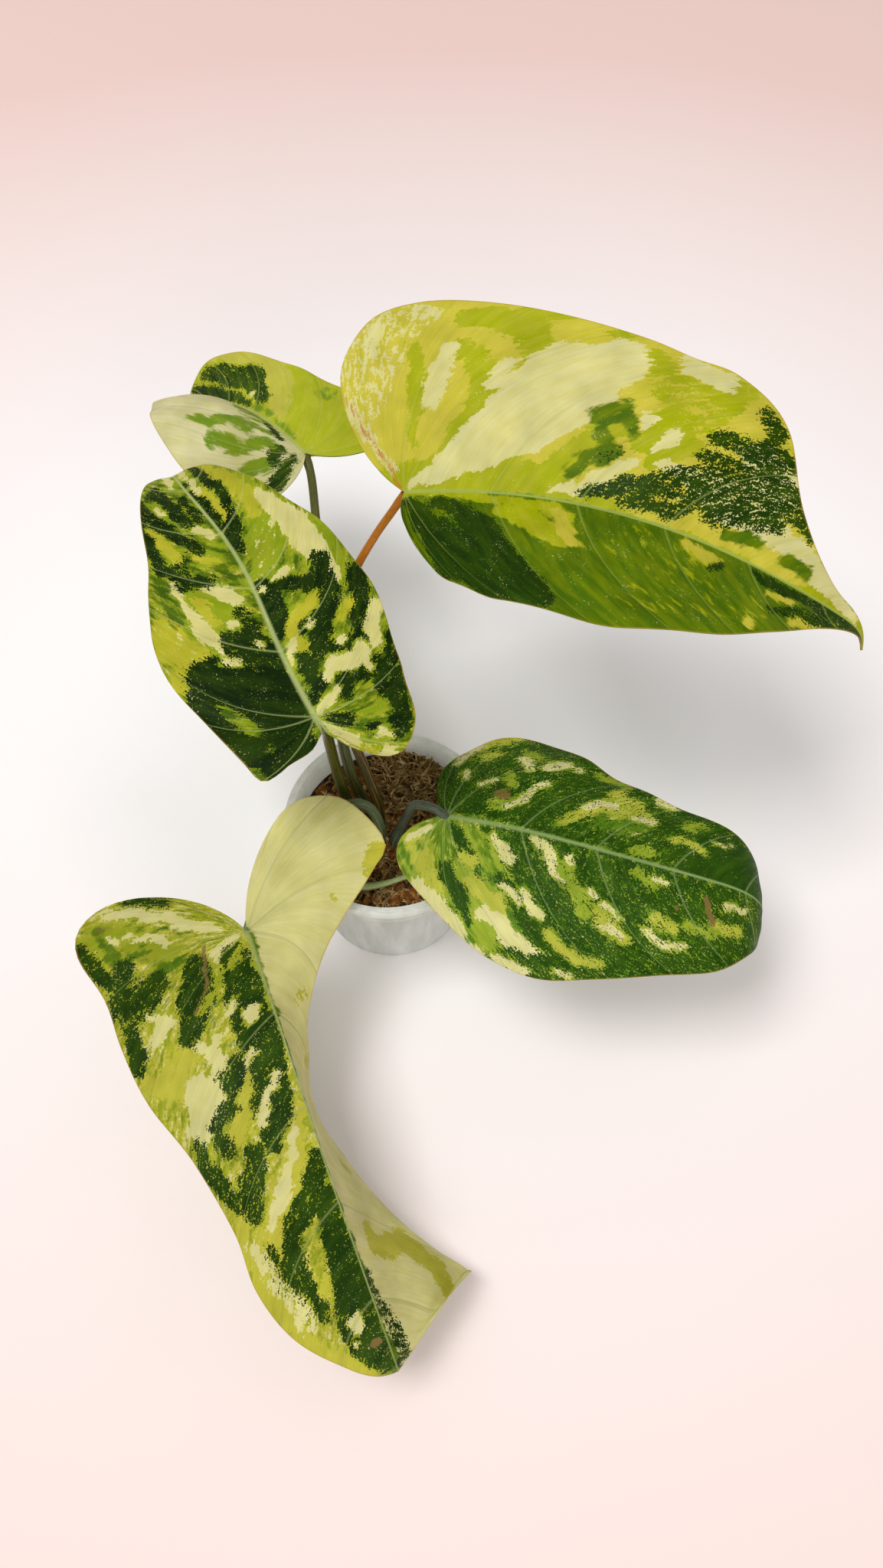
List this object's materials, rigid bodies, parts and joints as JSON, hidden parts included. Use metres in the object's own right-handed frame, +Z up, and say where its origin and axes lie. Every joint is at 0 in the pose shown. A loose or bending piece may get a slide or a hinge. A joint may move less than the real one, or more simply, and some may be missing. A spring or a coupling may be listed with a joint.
{
  "type": "potted philodendron",
  "caption": "Creeping aroid house plant with large heart-shaped variegated leaves on long stalks, in a small clear round nursery pot of coir.",
  "frame": {"origin": "centre of the pot's flat underside, on the surface it stands on", "axes": "+Z up along the pot's axis; the picture looks along +Y from above the front, with +X to its right"},
  "size_m": [0.3493, 0.4868, 0.2491],
  "materials": {
    "clear_plastic": "satin",
    "coir": "matte",
    "pale_shoot": "satin",
    "orange_stalk": "satin",
    "green_stalk": "satin",
    "lime_leaf": "satin",
    "dark_leaf": "satin",
    "pale_leaf": "satin"
  },
  "bodies": {
    "root": {"pot": "clear_plastic", "soil": "coir", "shoot": "pale_shoot", "stalk_a": "orange_stalk", "stalk_b": "green_stalk", "stalk_c": "green_stalk", "stalk_d": "green_stalk", "stalk_e": "green_stalk", "blade_a": "lime_leaf", "blade_b": "lime_leaf", "blade_c": "dark_leaf", "blade_d": "dark_leaf", "blade_e": "pale_leaf"}
  },
  "joints": []
}
